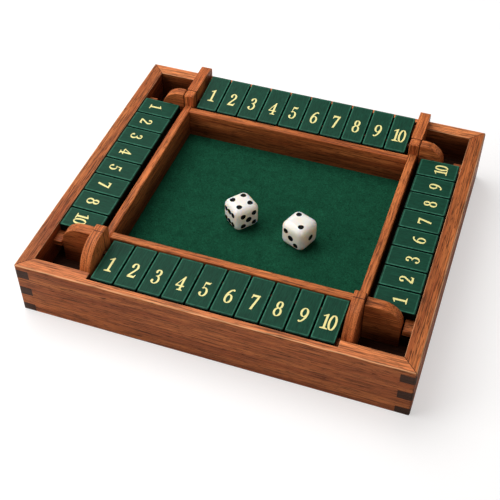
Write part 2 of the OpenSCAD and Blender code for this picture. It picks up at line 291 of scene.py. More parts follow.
def mixed(tree, factor, first, second, blend="MIX"):
    """Two colours mixed; a plain colour is given as three numbers."""
    made = put(tree, "ShaderNodeMix", data_type="RGBA", blend_type=blend)
    for index, value in ((0, factor), (6, first), (7, second)):
        if isinstance(value, bpy.types.NodeSocket):
            tree.links.new(value, made.inputs[index])
        else:
            made.inputs[index].default_value = (*value, 1) if isinstance(value, tuple) else value
    return made.outputs[2]


def times(tree, first, second):
    """Two colours multiplied."""
    return mixed(tree, 1.0, first, second, "MULTIPLY")


def shaded(tint, factor):
    """A plain colour made darker or lighter."""
    return tuple(factor * part for part in tint)


# Scale to the metre, detail, roughness and distortion of each noise
NOISES = {
    "figure": (170, 3, 0.55, 0.7), "lines": (1250, 3, 0.6, 0.25), "pores": (2300, 2, 0.5, 0.1),
    "cloud": (18, 2, 0.5, 0), "stain": (1500, 2, 0.6, 0), "mottle": (260, 4, 0.6, 0),
    "rub": (420, 3, 0.5, 0), "ink": (900, 3, 0.6, 0), "mat": (900, 5, 0.75, 1.2),
    "clump": (150, 3, 0.6, 0.5), "ivory": (160, 3, 0.55, 0), "dimples": (500, 2, 0.5, 0),
    "pip": (1500, 2, 0.5, 0),
}
# How far a noise that follows the grain is drawn out along it, and how far it is shifted
DRAWN_OUT = {"figure": (0.055, 0.31), "lines": (0.035, 0.57), "pores": (0.06, 0.83),
             "cloud": (0.35, 0.11), "stain": (0.09, 0.4)}
SHIFTS = (1.0, 1.7, 2.3)      # so that the three ways don't shift alike


def noise(tree, where, name, axis=None):
    """One of the noises, drawn out along the grain if axis holds the ways that it runs."""
    if axis is not None:
        stretch, shift = DRAWN_OUT[name]
        where = add(tree, "ShaderNodeMapping", {
            "Vector": where, "Location": shaded(SHIFTS, shift),
            "Scale": tuple(stretch if way in axis else 1.0 for way in range(3))})
    settings = dict(zip(("Scale", "Detail", "Roughness", "Distortion"), NOISES[name]))
    return add(tree, "ShaderNodeTexNoise", {"Vector": where, **settings})


def new_material(name, **shader):
    """A material with one Principled shader. shader holds its constant settings."""
    made = bpy.data.materials.new(name)
    made.use_nodes = True
    tree = made.node_tree
    surface = tree.nodes["Principled BSDF"]
    for socket, value in shader.items():
        surface.inputs[socket.replace("_", " ")].default_value = value
    return made, tree, surface


def feed(tree, surface, colour, roughness=None):
    """Links a colour, and a roughness where it varies, to a shader."""
    tree.links.new(colour, surface.inputs["Base Color"])
    if roughness is not None:
        tree.links.new(roughness, surface.inputs["Roughness"])


def varied(tree, factor, least, spread):
    """A number that factor moves up from least by as much as spread."""
    return maths(tree, "MULTIPLY_ADD", factor, spread, least)


def bump(tree, surface, height, strength, distance):
    normal = add(tree, "ShaderNodeBump", {
        "Height": height, "Strength": strength, "Distance": distance})
    tree.links.new(normal, surface.inputs["Normal"])


def object_space(tree):
    return add(tree, "ShaderNodeTexCoord", out="Object")


def attribute(tree, name):
    """A number that the mesh holds at each point."""
    return add(tree, "ShaderNodeAttribute", out="Fac", attribute_name=name)


def axis_name(axis):
    return "".join("xyz"[way] for way in axis)


# ---------- materials ----------

WOOD = {}
FIGURE = (0.28, 0.5, 0.68)      # places along the figure's noise of its three colours
# Places along a noise, and the shade or the strength there
STREAKS = ((0.35, 0.30), (0.48, 0.88), (0.68, 1.26))
CLOUDS = ((0.3, 0.84), (0.7, 1.1))
PITS = ((0.57, 0.0), (0.64, 1.0))
STAIN_LINES = ((0.32, 0.78), (0.68, 1.28))
SHEEN_PATCHES = ((0.3, 0.35), (0.6, 1.0))
MATTING = ((0.3, 0.0), (0.7, 1.0))
CLUMPS = ((0.3, 0.82), (0.7, 1.16))
MOTTLED = (0.80, 1.20)      # darkest and lightest of a tile's paint
SIDE_DEPTHS = (0.02, 0.08, 0.92, 0.98)      # where the painted shade down a tile's sides sets in and ends
PIT_TINT, PIT_ROUGHNESS, LINE_RELIEF = 0.75, 0.2, 0.4
PLAIN_TONES = (1.0, 0.7, 0.38)      # light, deep and pore colours, as shares of a plain colour
# Depths below the walls' top, and the strength there: the long walls' tops, drawn lighter than
# their faces as painted light, a painted highlight along the arris of all four, the painted shade of a
# sunk piece and the lip's own top, which stays plain
LIGHTER_TOP = (0.9 * MM, 0.1 * MM)
ARRIS_SHEEN = ((0.7 * MM, 0.0), (0.4 * MM, 0.6), (0.15 * MM, 0.6))
ARRIS_SHEEN_TOP = {"wall": (0.02 * MM, 0.1), "side_wall": (0.02 * MM, 0.0)}
SUNK = {"wall": (9 * MM, 0.5 * MM), "side_wall": (9 * MM, 0.5 * MM), "tray": (16 * MM, 3 * MM)}
LIP_TOP = ((0.5 * MM, 0.0), (0.2 * MM, 1.0))
PANEL_TOP = (0.6 * MM, 0.2 * MM)      # depths below the base panel's top, over which its top is darkened as painted shade
# Distances in from the box's outer faces: its lip, and the line of painted shade at the lip's foot
LIP = 4.4 * MM
LIP_FOOT = ((LIP + 0.3 * MM, 0.25), (LIP + 0.6 * MM, 1.0))
# Distances from a joint, and how dark its line is there
MITRE = ((0.26 * MM, 0.97), (0.34 * MM, 0.0))
BUTT = ((0.3 * MM, 0.9), (0.45 * MM, 0.0))
BUTT_MARGIN = 0.5 * MM      # how far past a post its joint lines may run


def down(tree, where, top, *stops):
    """A ramp by height. Each of stops is a depth below top and the shade there."""
    return ramp(tree, xyz(tree, where)["Z"], *((top - depth, shade) for depth, shade in stops))


def box_insets(tree, where):
    """How far a point lies in from the box's nearer side and from its nearer end."""
    half = (Vector(CAD_BOX[1]) - Vector(CAD_BOX[0])) / 2
    places = xyz(tree, vector_maths(tree, "ABSOLUTE", where))
    return [maths(tree, "SUBTRACT", half[way], places[way]) for way in range(2)]


def mitre_line(tree, where):
    """1 within a hair's breadth of the mitres, which run at 45 degrees to the box's corners."""
    off = maths(tree, "ABSOLUTE", maths(tree, "SUBTRACT", *box_insets(tree, where)))
    return ramp(tree, off, *MITRE)


def deep_shade(tree, where, low, high):
    """A painted shade for the wood inside the box's lip: a grey that darkens it from the depth high to
    low, and a dark line of painted shade along the lip's foot."""
    inset = maths(tree, "MINIMUM", *box_insets(tree, where))
    sunk = bpy.context.scene.shutbox_wood.low_tone
    shade = down(tree, where, WALL_TOP, (low, sunk), (high, 1.0))
    foot = maths(tree, "MAXIMUM", ramp(tree, inset, *LIP_FOOT),
                 down(tree, where, WALL_TOP, *LIP_TOP))
    within = maths(tree, "GREATER_THAN", inset, LIP)
    return mixed(tree, within, (1.0, 1.0, 1.0), times(tree, shade, foot))


def joint_lines(tree, where):
    """1 within a hair's breadth of the planes where the cheeks butt against the posts."""
    low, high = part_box("corner_posts")
    half = (high.y - low.y) / 2
    off, at_post = [], []
    for place, edge in zip(xyz(tree, vector_maths(tree, "ABSOLUTE", where)), high.xy):
        off.append(maths(tree, "ABSOLUTE", maths(tree, "SUBTRACT", place, edge)))
        at_post.append(maths(tree, "COMPARE", place, edge - half, half + BUTT_MARGIN))
    line = ramp(tree, maths(tree, "MINIMUM", *off), *BUTT)
    return maths(tree, "MULTIPLY", maths(tree, "MULTIPLY", *at_post), line)


def wood_colours(kind):
    """Light, deep and pore colours of a kind of wood."""
    look = bpy.context.scene.shutbox_wood
    if kind in ("key", "panel"):
        return [shaded(getattr(look, kind), tone) for tone in PLAIN_TONES]
    # The rods' low tone is painted shade
    tone = {"wall": look.wall_tone, "side_wall": look.side_tone, "tray": look.tray_tone,
            "rod": look.rod_tone, "batten": look.batten_tone}.get(kind, 1.0)
    return [shaded(tint, tone) for tint in (look.light, look.deep, look.pore)]


def wood_material(axis, kind):
    """Open-pored hardwood whose grain runs along axis. One material serves all like pieces."""
    if (axis, kind) in WOOD:
        return WOOD[axis, kind]
    look = bpy.context.scene.shutbox_wood
    light, deep, pore = wood_colours(kind)
    middle = tuple((a + b) / 2 for a, b in zip(deep, light))
    made, tree, surface = new_material(
        f"{kind}_wood_{axis_name(axis)}", Specular_IOR_Level=0.12)
    where = object_space(tree)
    lines = noise(tree, where, "lines", axis)
    streak = ramp(tree, lines, *STREAKS)
    pits = ramp(tree, noise(tree, where, "pores", axis[-1:]), *PITS)
    body = ramp(tree, noise(tree, where, "figure", axis), *zip(FIGURE, (deep, middle, light)))
    body = times(tree, body, streak)
    body = times(tree, body, ramp(tree, noise(tree, where, "cloud", axis), *CLOUDS))
    body = mixed(tree, maths(tree, "MULTIPLY", pits, PIT_TINT), body, pore)
    # Painted light: the long walls' tops are drawn lighter than their faces
    if kind == "wall":
        body = times(tree, body, down(tree, where, WALL_TOP, *zip(LIGHTER_TOP, (1.0, look.rim_tone))))
    # Painted highlight along the walls' upper arrises, then the mitres' dark joint lines
    if kind in ARRIS_SHEEN_TOP:
        worn = down(tree, where, WALL_TOP, *ARRIS_SHEEN, ARRIS_SHEEN_TOP[kind])
        body = mixed(tree, worn, body, times(tree, tuple(look.rubbed), streak))
        body = mixed(tree, mitre_line(tree, where), body, pore)
    # Painted shade: the base panel's top, which floors the corner wells, is darkened
    if kind == "panel":
        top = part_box("base_panel")[1].z
        body = times(tree, body, down(tree, where, top, *zip(PANEL_TOP, (1.0, look.low_tone))))
    if kind in ("box", "tray"):
        body = mixed(tree, joint_lines(tree, where), body, pore)
    # Painted shade down inside the box's lip
    if kind in SUNK:
        body = times(tree, body, deep_shade(tree, where, *SUNK[kind]))
    feed(tree, surface, body, maths(
        tree, "ADD", varied(tree, lines, least=0.36, spread=0.16),
        maths(tree, "MULTIPLY", pits, PIT_ROUGHNESS)))
    relief = maths(tree, "SUBTRACT", maths(tree, "MULTIPLY", lines, LINE_RELIEF), pits)
    bump(tree, surface, relief, strength=0.35, distance=0.12 * MM)
    WOOD[axis, kind] = made
    return made


def tile_material(axis):
    """Satin green finish on wood with its grain along axis. Paler paint along the edges is a painted
    highlight, and darker paint down the sides and at the ends is painted shade.
    """
    look = bpy.context.scene.shutbox_tiles
    made, tree, surface = new_material(f"tile_paint_{axis_name(axis)}", Specular_IOR_Level=0.07)
    where = object_space(tree)
    mottle = noise(tree, where, "mottle")
    fine = noise(tree, where, "stain", axis)
    body = mixed(tree, mottle, *(shaded(look.paint, factor) for factor in MOTTLED))
    body = times(tree, body, ramp(tree, fine, *STAIN_LINES))
    # Painted highlight: paler paint in patches along the tile's edges
    patchy = ramp(tree, noise(tree, where, "rub"), *SHEEN_PATCHES)
    worn = maths(tree, "MULTIPLY", attribute(tree, "wear"), patchy)
    body = mixed(tree, worn, body, tuple(look.worn))
    # Painted shade down the tile's sides
    side = look.side_tone
    body = times(tree, body, ramp(tree, attribute(tree, "depth"),
                                  *zip(SIDE_DEPTHS, (1.0, side, side, 1.0))))
    # Painted shade at the tile's ends and along its sides
    body = times(tree, body, ramp(tree, attribute(tree, "stain"), (0.0, 1.0), (1.0, side)))
    feed(tree, surface, body, varied(tree, mottle, least=0.34, spread=0.18))
    relief = maths(tree, "ADD", maths(tree, "MULTIPLY", mottle, 0.6), fine)
    bump(tree, surface, relief, strength=0.3, distance=0.08 * MM)
    return made


def ink_material():
    """Pale gold paint of the numbers, a little uneven."""
    ink = bpy.context.scene.shutbox_tiles.ink
    made, tree, surface = new_material("number_gold", Specular_IOR_Level=0.4)
    patch = noise(tree, object_space(tree), "ink")
    feed(tree, surface, mixed(tree, patch, shaded(ink, 0.9), tuple(ink)),
         varied(tree, patch, least=0.34, spread=0.2))
    bump(tree, surface, patch, strength=0.2, distance=0.04 * MM)
    return made


def felt_material(name, lift):
    """Short-pile felt: matted fibres in two sizes. lift makes the loose fibres paler."""
    look = bpy.context.scene.shutbox_felt
    made, tree, surface = new_material(name, Roughness=0.95, Specular_IOR_Level=0.05)
    where = object_space(tree)
    mat = noise(tree, where, "mat")
    body = mixed(tree, ramp(tree, mat, *MATTING), shaded(look.dark, lift),
                 shaded(look.light, lift))
    clump = ramp(tree, noise(tree, where, "clump"), *CLUMPS)
    feed(tree, surface, times(tree, body, clump))
    bump(tree, surface, mat, strength=0.8, distance=0.3 * MM)
    return made


def ivory_material():
    """Glossy ivory plastic of the dice."""
    body = bpy.context.scene.shutbox_dice.body
    made, tree, surface = new_material(
        "die_ivory", Roughness=0.22, Specular_IOR_Level=0.5, Subsurface_Weight=1.0,
        Subsurface_Radius=(14 * MM, 11 * MM, 8 * MM), Subsurface_Scale=1.0)
    where = object_space(tree)
    cloud = noise(tree, where, "ivory")
    feed(tree, surface, mixed(tree, cloud, shaded(body, 0.96), tuple(body)))
    bump(tree, surface, noise(tree, where, "dimples"), strength=0.06, distance=0.05 * MM)
    return made


def pip_material():
    """Black paint in the pips."""
    pip = bpy.context.scene.shutbox_dice.pip
    made, tree, surface = new_material("pip_black", Specular_IOR_Level=0.08)
    patch = noise(tree, object_space(tree), "pip")
    feed(tree, surface, mixed(tree, patch, tuple(pip), shaded(pip, 1.6)),
         varied(tree, patch, least=0.45, spread=0.2))
    return made


# ---------- mesh helpers ----------

def new_object(name, mesh):
    made = bpy.data.objects.new(name, mesh)
    bpy.context.scene.collection.objects.link(made)
    return made


def settle(piece):
    """Turns a piece and its modifiers into one plain mesh."""
    graph = bpy.context.evaluated_depsgraph_get()
    mesh = bpy.data.meshes.new_from_object(piece.evaluated_get(graph), depsgraph=graph)
    mesh.name = piece.name
    piece.modifiers.clear()
    piece.data = mesh
    return piece


def smooth(mesh, angle=35):
    """Smooth shading with the edges sharper than angle left crisp."""
    mesh.shade_smooth()
    mesh.set_sharp_from_angle(angle=math.radians(angle))


def polish(piece):
    """Smooth shading, which keeps large faces flat where they meet rounded edges."""
    smooth(piece.data)
    weighting = piece.modifiers.new("weighting", "WEIGHTED_NORMAL")
    weighting.keep_sharp = True
    weighting.weight = 100
    settle(piece)


def dress(piece, material, body, slot, *replaced):
    """Gives a finished piece its material and body, and hides the CAD nodes that it stands for. slot is
    not used.
    """
    if material is not None:
        piece.data.materials.clear()
        piece.data.materials.append(material)
    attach(piece, body)
    if replaced:
        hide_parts(*replaced)
    return piece


def centre_and_span(node):
    low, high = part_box(node)
    return (low + high) / 2, high - low


# ---------- worked wood ----------

MERGED = 0.002 * MM      # CAD points closer than this are one
FLAT, SHARP = math.radians(0.4), math.radians(30)      # turns that are no edge, and a sawn edge
CORNER_REACH = 12 * MM      # how far the keys and mitres reach from a corner
SHORT = 1.5 * CORNER_REACH      # a longer edge runs on past the corner


def at_corner(edge):
    """True for a short edge near one of the box's four upright corners."""
    low, high = CAD_BOX
    start, end = (vertex.co for vertex in edge.verts)
    return (start - end).xy.length < SHORT and all(
        min(point.x - low[0], high[0] - point.x) < CORNER_REACH
        and min(point.y - low[1], high[1] - point.y) < CORNER_REACH for point in (start, end))


def worked_wood(node, axis, kind="tray", slot="wood", arris=None):
    """A copy of a CAD node with its sawn edges softened, in wood with the grain along axis."""
    look = bpy.context.scene.shutbox_wood
    arris = arris or look.arris
    mesh = bpy.data.meshes.new(node + "_worked")
    shape = bmesh.new()
    shape.from_mesh(NODES[node].data)
    bmesh.ops.remove_doubles(shape, verts=shape.verts, dist=MERGED)
    bmesh.ops.dissolve_limit(shape, angle_limit=FLAT, verts=shape.verts, edges=shape.edges)
    weights = shape.edges.layers.float.new("bevel_weight_edge")
    for edge in shape.edges:
        if len(edge.link_faces) == 2 and edge.calc_face_angle() >= SHARP:
            edge[weights] = look.tight_arris / arris if at_corner(edge) else 1.0
    shape.to_mesh(mesh)
    shape.free()
    mesh.materials.clear()
    piece = new_object(node + "_worked", mesh)
    bevel = piece.modifiers.new("arris", "BEVEL")
    bevel.limit_method = "WEIGHT"
    bevel.width = arris
    bevel.segments = 3
    bevel.use_clamp_overlap = True
    settle(piece)
    polish(piece)
    return dress(piece, wood_material(axis, kind), BOX_BODY, slot, node)


# ---------- numbers ----------

PEN_WIDE, PEN_THIN = 0.066, 0.027      # half the pen's width and height, as shares of a digit
HAIR_PEN = (0.030, 0.026)
DIGIT_W = 0.56      # breadth of a digit, as a share of its height
TEN_STEP = 0.43      # from the 1 of a 10 to its 0
ARC_STEPS = 22
CLOSE = 1e-5      # points of a number closer than this are one


def arc(cx, cy, rx, ry, start, end, steps=ARC_STEPS):
    """Points on an ellipse from start to end, in degrees."""
    angles = [math.radians(start + (end - start) * i / steps) for i in range(steps + 1)]
    return [(cx + rx * math.cos(a), cy + ry * math.sin(a)) for a in angles]


def pen_stroke(path, pen=(PEN_WIDE, PEN_THIN)):
    """Quads that a broad pen with an oval nib paints along path: wide upright, thin across."""
    wide, thin = pen
    rims = []
    for i, (x, y) in enumerate(path):
        ax, ay = path[max(i - 1, 0)]
        bx, by = path[min(i + 1, len(path) - 1)]
        nx, ny = ay - by, bx - ax
        size = math.hypot(wide * nx, thin * ny)
        dx, dy = wide * wide * nx / size, thin * thin * ny / size
        rims.append(((x + dx, y + dy), (x - dx, y - dy)))
    return [[a[0], a[1], b[1], b[0]] for a, b in zip(rims, rims[1:])]


def ball(cx, cy, radius):
    """The round blob that ends a curved stroke."""
    return [arc(cx, cy, radius, radius, 0, 337.5, 15)]


def turned_over(polygons, cx, cy):
    return [[(2 * cx - x, 2 * cy - y) for x, y in polygon] for polygon in polygons]


def digit(figure):
    """Outlines of one digit, one unit high, as polygons that may overlap."""
    if figure == 0:
        return pen_stroke(arc(0.28, 0.5, 0.195, 0.475, 0, 360, 2 * ARC_STEPS))
    if figure == 1:
        return [[(0.22, 0.0), (0.36, 0.0), (0.36, 1.0), (0.22, 0.93)],
                [(0.07, 0.79), (0.22, 0.85), (0.22, 0.93), (0.36, 1.0), (0.30, 1.0), (0.05, 0.84)],
                [(0.05, 0.0), (0.53, 0.0), (0.53, 0.05), (0.36, 0.11), (0.22, 0.11), (0.05, 0.05)]]
    if figure == 2:
        path = arc(0.26, 0.73, 0.175, 0.243, 168, -28) + [(0.36, 0.53), (0.22, 0.31), (0.09, 0.10)]
        foot = [(0.03, 0.0), (0.50, 0.0), (0.545, 0.24), (0.505, 0.24), (0.44, 0.135),
                (0.14, 0.135), (0.03, 0.05)]
        return pen_stroke(path) + ball(0.115, 0.735, 0.075) + [foot]
    if figure == 3:
        upper = arc(0.25, 0.765, 0.155, 0.210, 160, -82)
        lower = arc(0.235, 0.285, 0.205, 0.260, 84, -158)
        return (pen_stroke(upper) + pen_stroke(lower) + ball(0.12, 0.80, 0.068)
                + ball(0.075, 0.205, 0.078) + [[(0.17, 0.52), (0.30, 0.515), (0.30, 0.57), (0.17, 0.56)]])
    if figure == 4:
        slope = pen_stroke([(0.385, 0.975), (0.03, 0.315)], HAIR_PEN)
        return slope + [
            [(0.305, 0.0), (0.435, 0.0), (0.435, 1.0), (0.375, 1.0), (0.305, 0.87)],
            [(0.0, 0.27), (0.56, 0.27), (0.56, 0.355), (0.03, 0.355), (0.0, 0.33)],
            [(0.19, 0.0), (0.54, 0.0), (0.54, 0.045), (0.435, 0.095), (0.305, 0.095), (0.19, 0.045)]]
    if figure == 5:
        bowl = arc(0.235, 0.315, 0.205, 0.290, 128, -158)
        return (pen_stroke(bowl) + ball(0.075, 0.215, 0.078)
                + [[(0.115, 0.49), (0.155, 0.53), (0.185, 0.86), (0.125, 0.98)],
                   [(0.125, 1.0), (0.135, 0.87), (0.43, 0.86), (0.505, 1.0), (0.485, 1.03),
                    (0.44, 0.99)]])
    if figure == 6:
        return (pen_stroke(arc(0.285, 0.305, 0.190, 0.280, 0, 360, 2 * ARC_STEPS))
                + pen_stroke(arc(0.525, 0.32, 0.43, 0.645, 97, 182))
                + ball(0.455, 0.90, 0.058))
    if figure == 7:
        return [[(0.05, 1.0), (0.545, 1.0), (0.545, 0.95), (0.50, 0.865), (0.14, 0.865),
                 (0.075, 0.74), (0.035, 0.74)],
                [(0.40, 0.88), (0.545, 0.95), (0.325, 0.0), (0.175, 0.0)]]
    if figure == 8:
        return (pen_stroke(arc(0.28, 0.755, 0.150, 0.218, 0, 360, 2 * ARC_STEPS))
                + pen_stroke(arc(0.28, 0.285, 0.195, 0.258, 0, 360, 2 * ARC_STEPS)))
    return turned_over(digit(6), DIGIT_W / 2, 0.5)


def number_outline(number, breadth):
    """Polygons of a whole number, one unit high, stretched sideways and centred on the origin."""
    figures = [int(letter) for letter in str(number)]
    advance = TEN_STEP if number == 10 else DIGIT_W
    total = advance * (len(figures) - 1) + DIGIT_W
    polygons = []
    for place, figure in enumerate(figures):
        shift = place * advance - total / 2
        polygons += [[(breadth * (x + shift), y - 0.5) for x, y in polygon]
                     for polygon in digit(figure)]
    return polygons


def holds(polygon, point):
    """True if point lies inside polygon."""
    inside = False
    for (ax, ay), (bx, by) in zip(polygon, polygon[1:] + polygon[:1]):
        if (ay > point.y) != (by > point.y):
            inside ^= point.x < ax + (point.y - ay) * (bx - ax) / (by - ay)
    return inside


def number_mesh(name, number, height, breadth, proud):
    """One closed mesh of a number, merged where its strokes overlap, from z = 0 up to proud."""
    points, faces = [], []
    outline = number_outline(number, breadth)
    for polygon in outline:
        area = sum(a[0] * b[1] - b[0] * a[1] for a, b in zip(polygon, polygon[1:] + polygon[:1]))
        start = len(points)
        points += [Vector(point) for point in polygon]
        order = list(range(start, len(points)))
        faces.append(order if area > 0 else order[::-1])
    flat, _, triangles, _, _, _ = delaunay_2d_cdt(points, [], faces, 0, CLOSE)
    triangles = [tri for tri in triangles
                 if any(holds(polygon, sum((flat[i] for i in tri), Vector((0, 0))) / 3)
                        for polygon in outline)]
    shape = bmesh.new()
    verts = [shape.verts.new((x * height, y * height, 0)) for x, y in flat]
    for tri in triangles:
        shape.faces.new([verts[i] for i in tri])
    bmesh.ops.delete(shape, geom=[v for v in shape.verts if not v.link_faces], context="VERTS")
    base = list(shape.faces)
    raised = bmesh.ops.extrude_face_region(shape, geom=base, use_keep_orig=True)
    top = [item for item in raised["geom"] if isinstance(item, bmesh.types.BMVert)]
    bmesh.ops.translate(shape, verts=top, vec=(0, 0, proud))
    bmesh.ops.recalc_face_normals(shape, faces=shape.faces)
    mesh = bpy.data.meshes.new(name)
    shape.to_mesh(mesh)
    shape.free()
    return mesh


# ---------- geometry node trees ----------

def tree_with(name, inputs):
    """An empty geometry node tree with a geometry in and out and the named inputs."""
    tree = bpy.data.node_groups.new(name, "GeometryNodeTree")
    tree.interface.new_socket("Geometry", in_out="INPUT", socket_type="NodeSocketGeometry")
    for label, kind in inputs:
        tree.interface.new_socket(label, in_out="INPUT", socket_type="NodeSocket" + kind)
    tree.interface.new_socket("Geometry", in_out="OUTPUT", socket_type="NodeSocketGeometry")
    return (tree, put(tree, "NodeGroupInput").outputs,
            put(tree, "NodeGroupOutput").inputs["Geometry"])


def grow(piece, tree, values):
    """Runs a geometry node tree on a piece with the named inputs set, and keeps the result."""
    modifier = piece.modifiers.new(tree.name, "NODES")
    modifier.node_group = tree
    for socket in tree.interface.items_tree:
        if socket.in_out == "INPUT" and socket.name in values:
            modifier[socket.identifier] = values[socket.name]
    return settle(piece)


def painted(tree, geometry, material):
    return add(tree, "GeometryNodeSetMaterial", {"Geometry": geometry, "Material": material})


def hand_out(tree, geometry, material, result):
    """Ends a tree: instances are made real, given their material and handed out."""
    real = add(tree, "GeometryNodeRealizeInstances", {"Geometry": geometry})
    tree.links.new(painted(tree, real, material), result)
    return tree


def cut(tree, block, tools):
    """A block with tools cut out of it."""
    return add(tree, "GeometryNodeMeshBoolean", {"Mesh 1": block, "Mesh 2": tools},
               operation="DIFFERENCE", solver="EXACT")


def alike(tree, value):
    """A vector whose three parts are value."""
    return add(tree, "ShaderNodeCombineXYZ", dict.fromkeys("XYZ", value))


ORIGIN = (0, 0, 0)
ARC_RING = 3      # rings count 1, 3, 5 and so on outwards: 1 lies on the flat, the arc starts at 3


def rounded_block(tree, size, edge, steps, margin):
    """Adds a box with rounded edges: a cube whose outer rings are bent onto the edge's arc,
    with one more ring on each flat face, at margin from the arc."""
    count = maths(tree, "MULTIPLY_ADD", steps, 2.0, ARC_RING + 1.0)
    cube = add(tree, "GeometryNodeMeshCube", {
        "Size": (2, 2, 2), "Vertices X": count, "Vertices Y": count, "Vertices Z": count})
    place = add(tree, "GeometryNodeInputPosition")
    away = vector_maths(tree, "ABSOLUTE", place)
    sign = vector_maths(tree, "DIVIDE", place, away)
    ring = vector_maths(tree, "MULTIPLY", away, maths(tree, "SUBTRACT", count, 1.0))
    bend = vector_maths(tree, "SUBTRACT", ring, (ARC_RING,) * 3)
    bend = vector_maths(tree, "DIVIDE", bend, maths(tree, "MULTIPLY", steps, 2.0))
    bend = vector_maths(tree, "MAXIMUM", bend, ORIGIN)
    bend = vector_maths(tree, "TANGENT", vector_maths(tree, "MULTIPLY", bend, (math.pi / 4,) * 3))
    inner = vector_maths(tree, "MAXIMUM", ORIGIN, vector_maths(
        tree, "SUBTRACT", (ARC_RING / 2,) * 3, vector_maths(tree, "MULTIPLY", ring, HALF)))
    facing = vector_maths(tree, "NORMALIZE", vector_maths(tree, "MULTIPLY", bend, sign))
    half = vector_maths(tree, "MULTIPLY", size, HALF)
    core = vector_maths(tree, "SUBTRACT", vector_maths(tree, "SUBTRACT", half, edge),
                        vector_maths(tree, "MULTIPLY", inner, margin))
    core = vector_maths(tree, "MULTIPLY", core, sign)
    skin = vector_maths(tree, "ADD", core, vector_maths(tree, "MULTIPLY", facing, edge))
    return add(tree, "GeometryNodeSetPosition", {"Geometry": cube, "Position": skin})


# How far in from a tile's ends and sides the painted shade starts, and how far in the painted edge
# highlight is shifted
END_SHADE_INSETS = (1.05 * MM, 0.42 * MM, 0)
SHEEN_SHIFT = (0.65 * MM, 0.15 * MM, 0)
END_SHADE_WIDTH = 0.4 * MM      # over which the painted shade at the ends and sides sets in
SHEEN_GAIN = 1.4      # above 1 the painted edge highlight is full before it gets to the edge
TILE_STEPS = 3      # steps round a tile's edge
BORE_SIDES, DRILL_LENGTH, BORE_PLAY = 24, 50 * MM, 0.05 * MM


def wear_along_edges(tree, geometry, size, edge):
    """Stores how near an edge each point lies, from 0 inside edge's width to 1 on the edge, for the
    painted highlight along the edges; how deep it lies below the upper face, from 0 to 1 at the lower
    one; and how far the painted shade of the ends and the sides covers it."""
    place = add(tree, "GeometryNodeInputPosition")
    half = vector_maths(tree, "MULTIPLY", size, HALF)
    over = vector_maths(tree, "SUBTRACT", vector_maths(tree, "ABSOLUTE", place), half)
    past = vector_maths(tree, "ADD", vector_maths(tree, "ADD", over, SHEEN_SHIFT), edge)
    past = vector_maths(tree, "MAXIMUM", vector_maths(tree, "DIVIDE", past, edge), ORIGIN)
    x, y, z = xyz(tree, past)
    largest = maths(tree, "MAXIMUM", x, maths(tree, "MAXIMUM", y, z))
    rest = maths(tree, "SUBTRACT", maths(tree, "ADD", x, maths(tree, "ADD", y, z)), largest)
    height = xyz(tree, vector_maths(tree, "DIVIDE", place, size))["Z"]
    ends, sides = xyz(tree, vector_maths(tree, "ADD", over, END_SHADE_INSETS))[:2]
    for name, value in (
            ("wear", maths(tree, "MINIMUM", maths(tree, "MULTIPLY", rest, SHEEN_GAIN), 1.0)),
            ("depth", maths(tree, "SUBTRACT", 0.5, height)),
            ("stain", maths(tree, "DIVIDE", maths(tree, "MAXIMUM", ends, sides), END_SHADE_WIDTH))):
        geometry = add(tree, "GeometryNodeStoreNamedAttribute", {
            "Geometry": geometry, "Name": name, "Value": value},
            data_type="FLOAT", domain="POINT")
    return geometry


def tile_tree():
    """A tile lying along X about its middle, with a bore across it for the rod."""
    tree, given, result = tree_with("numbered tile", [
        ("Size", "Vector"), ("Edge", "Float"), ("Wear", "Float"), ("Steps", "Int"),
        ("Bore radius", "Float"), ("Bore place", "Vector"), ("Material", "Material")])
    size, edge, wear = (given[name] for name in ("Size", "Edge", "Wear"))
    block = rounded_block(tree, size, edge, given["Steps"],
                          vector_maths(tree, "ADD", wear, SHEEN_SHIFT))
    drill = add(tree, "GeometryNodeMeshCylinder", {
        "Vertices": BORE_SIDES, "Radius": given["Bore radius"], "Depth": DRILL_LENGTH})
    drill = add(tree, "GeometryNodeTransform", {
        "Geometry": drill, "Translation": given["Bore place"],
        "Rotation": (math.pi / 2, 0, 0)})
    worn = wear_along_edges(tree, cut(tree, block, drill), size, maths(tree, "ADD", edge, wear))
    return hand_out(tree, worn, given["Material"], result)


DIE_STEPS, BALL_STEPS = 6, 5      # steps round a die's edge, and subdivisions of a pip's ball
FACE_MARGIN = 0.2      # of a die's rounding, from the rounding to the next ring on the face


def die_tree():
    """A die about its middle. The points that come in are the middles of the balls that cut pips."""
    tree, given, result = tree_with("pipped die", [
        ("Size", "Vector"), ("Edge", "Float"), ("Steps", "Int"), ("Ball radius", "Float"),
        ("Body", "Material"), ("Pips", "Material")])
    edge = given["Edge"]
    block = rounded_block(tree, given["Size"], edge, given["Steps"],
                          maths(tree, "MULTIPLY", edge, FACE_MARGIN))
    sphere = add(tree, "GeometryNodeMeshIcoSphere", {
        "Radius": given["Ball radius"], "Subdivisions": BALL_STEPS})
    spread = add(tree, "GeometryNodeInstanceOnPoints", {
        "Points": given["Geometry"], "Instance": painted(tree, sphere, given["Pips"])})
    balls = add(tree, "GeometryNodeRealizeInstances", {"Geometry": spread})
    tree.links.new(cut(tree, painted(tree, block, given["Body"]), balls), result)
    return tree


# A fibre one unit long bows through three points, leans by chance by up to the tilt either way
# and is shortened or drawn out by a share between two
FIBRE = {"Start": (-0.5, 0, 0), "Middle": (0, 0.22, 0.20), "End": (0.5, 0, 0.02), "Resolution": 3}
FIBRE_TILT = (0.25, 0.12)
FIBRE_SHARES = (0.5, 1.3)
FIBRE_SIDES = 3
UPWARD = 0.9      # the least height of an upper face's normal


